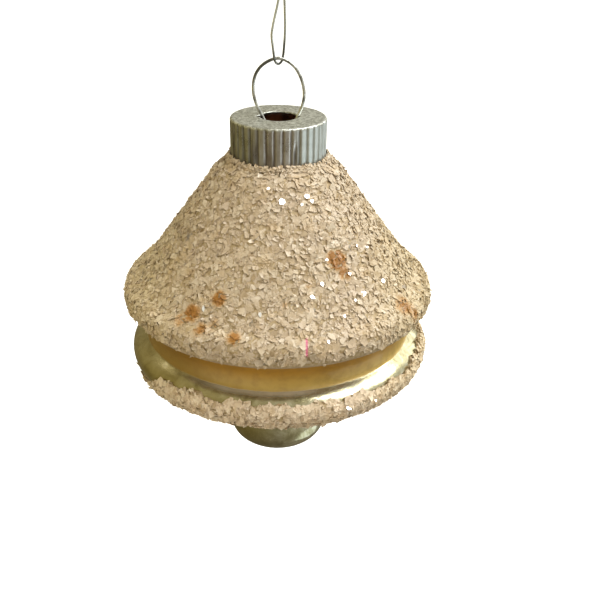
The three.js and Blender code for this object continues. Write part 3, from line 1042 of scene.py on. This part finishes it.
def area_light(name, toward, distance, size, power, colour, mirrored=True, lit=True):
    """A soft rectangular light in a direction from the ornament's middle, aimed at it.

    Distance and size are in metres, power in watts. mirrored says whether reflections show it, and lit
    whether it lights matt surfaces.
    """
    middle = Vector((0, 0, CAP_TOP + LAMP_AIM_Z)) * MM
    data = bpy.data.lights.new(name, "AREA")
    data.shape = "RECTANGLE"
    data.size, data.size_y = size
    data.energy = power
    data.color = colour
    lamp = bpy.data.objects.new(name, data)
    lamp.visible_glossy = mirrored
    lamp.visible_diffuse = lit
    lamp.location = middle + Vector(toward).normalized() * distance
    lamp.rotation_euler = (middle - lamp.location).to_track_quat("-Z", "Y").to_matrix().to_euler()
    bpy.context.scene.collection.objects.link(lamp)


def floor():
    """A plain pale floor below the hanging ornament, left out of its reflections."""
    n = Nodes("stage_white")
    n.set(colour=n.mix(n.noise(0.02), (0.93, 0.93, 0.92), (0.9, 0.9, 0.89)), rough=0.9, specular=0.1)
    n.shader.inputs["Emission Color"].default_value = (1, 1, 1, 1)
    n.shader.inputs["Emission Strength"].default_value = FLOOR_GLOW
    place = (0, 0, FLOOR_Z)
    bpy.ops.mesh.primitive_circle_add(vertices=96, radius=FLOOR_RADIUS, fill_type="NGON", location=place)
    ground = bpy.context.object
    ground.name = "floor"
    ground.data.materials.append(n.material)
    ground.visible_glossy = False
    ground.visible_diffuse = False


def surroundings():
    """A white backdrop for the eye, and for the ornament a dim room: brighter above and to the right."""
    world = bpy.data.worlds.new("studio")
    bpy.context.scene.world = world
    world.use_nodes = True
    nodes, links = world.node_tree.nodes, world.node_tree.links
    place = nodes.new("ShaderNodeTexCoord")
    split = nodes.new("ShaderNodeSeparateXYZ")
    links.new(place.outputs["Generated"], split.inputs[0])

    def ramp(axis, *stops):
        stretch = nodes.new("ShaderNodeMapRange")
        links.new(split.outputs[axis], stretch.inputs["Value"])
        stretch.inputs["From Min"].default_value = -1
        made = nodes.new("ShaderNodeValToRGB")
        while len(made.color_ramp.elements) < len(stops):
            made.color_ramp.elements.new(1.0)
        for element, (at, colour) in zip(made.color_ramp.elements, stops):
            element.position = at
            element.color = (*colour, 1)
        links.new(stretch.outputs["Result"], made.inputs["Fac"])
        return made.outputs["Color"]

    across = ramp("X", (0.0, (0.56, 0.48, 0.2)), (0.5, (0.52, 0.49, 0.4)), (1.0, (0.92, 0.93, 0.88)))
    dim = [(0.0, (0.3, 0.28, 0.24)), (0.45, (0.45, 0.43, 0.38))]
    bright = [(0.6, (0.65, 0.65, 0.63)), (1.0, (0.9, 0.9, 0.88))]
    upward = ramp("Z", *dim, *bright)
    room = nodes.new("ShaderNodeMix")
    room.data_type = "RGBA"
    room.blend_type = "MULTIPLY"
    room.inputs[0].default_value = 1
    links.new(across, room.inputs[6])
    links.new(upward, room.inputs[7])
    background = nodes["Background"]
    links.new(room.outputs[2], background.inputs["Color"])
    background.inputs["Strength"].default_value = ROOM_STRENGTH
    white = nodes.new("ShaderNodeBackground")
    white.inputs["Color"].default_value = (1, 1, 1, 1)
    path = nodes.new("ShaderNodeLightPath")
    choose = nodes.new("ShaderNodeMixShader")
    links.new(path.outputs["Is Camera Ray"], choose.inputs[0])
    links.new(background.outputs[0], choose.inputs[1])
    links.new(white.outputs[0], choose.inputs[2])
    links.new(choose.outputs[0], nodes["World Output"].inputs["Surface"])


def lamps():
    """Two windows and a few panels that the silver mirrors, and soft lights that only reach matt surfaces."""
    area_light("window_near", KEY_DIRECTION, 0.9, (0.24, 0.6), 4.0, (0.97, 0.99, 1.0))
    area_light("window_far", (0.7, 0.18, 0.69), 0.9, (0.3, 0.34), 2.8, (0.97, 0.99, 1.0))
    area_light("cool_panel", (0.88, -0.2, -0.46), 0.9, (0.9, 0.55), 1.9, (0.78, 0.93, 1.0), lit=False)
    area_light("far_wall", (0.68, 0.65, 0.35), 0.9, (0.5, 0.5), 1.1, (1.0, 1.0, 0.92), lit=False)
    area_light("far_lamp", (-0.67, 0.37, 0.64), 0.9, (0.04, 0.14), 0.06, (1.0, 0.98, 0.9), lit=False)
    area_light("soft_top", (0.1, -0.35, 0.93), 1.2, (1.2, 1.2), 3.2, (1.0, 0.98, 0.94), mirrored=False)
    area_light("low_fill", (-0.5, -0.8, -0.33), 1.1, (0.8, 0.5), 5.8, (1.0, 0.94, 0.88), mirrored=False)
    area_light("left_fill", (-0.9, -0.35, -0.2), 1.1, (0.6, 0.6), 1.5, (1.0, 0.93, 0.8), mirrored=False)
    area_light("front_fill", (0.45, -0.7, 0.6), 1.1, (0.8, 0.8), 2.2, (1.0, 0.96, 0.9), mirrored=False)
    bpy.context.scene.view_settings.view_transform = "Standard"


camera()
surroundings()
lamps()
floor()
glass_body()
upper_crust()
lower_crust()
aluminium_cap()
hanger_clip()
ornament_hook()
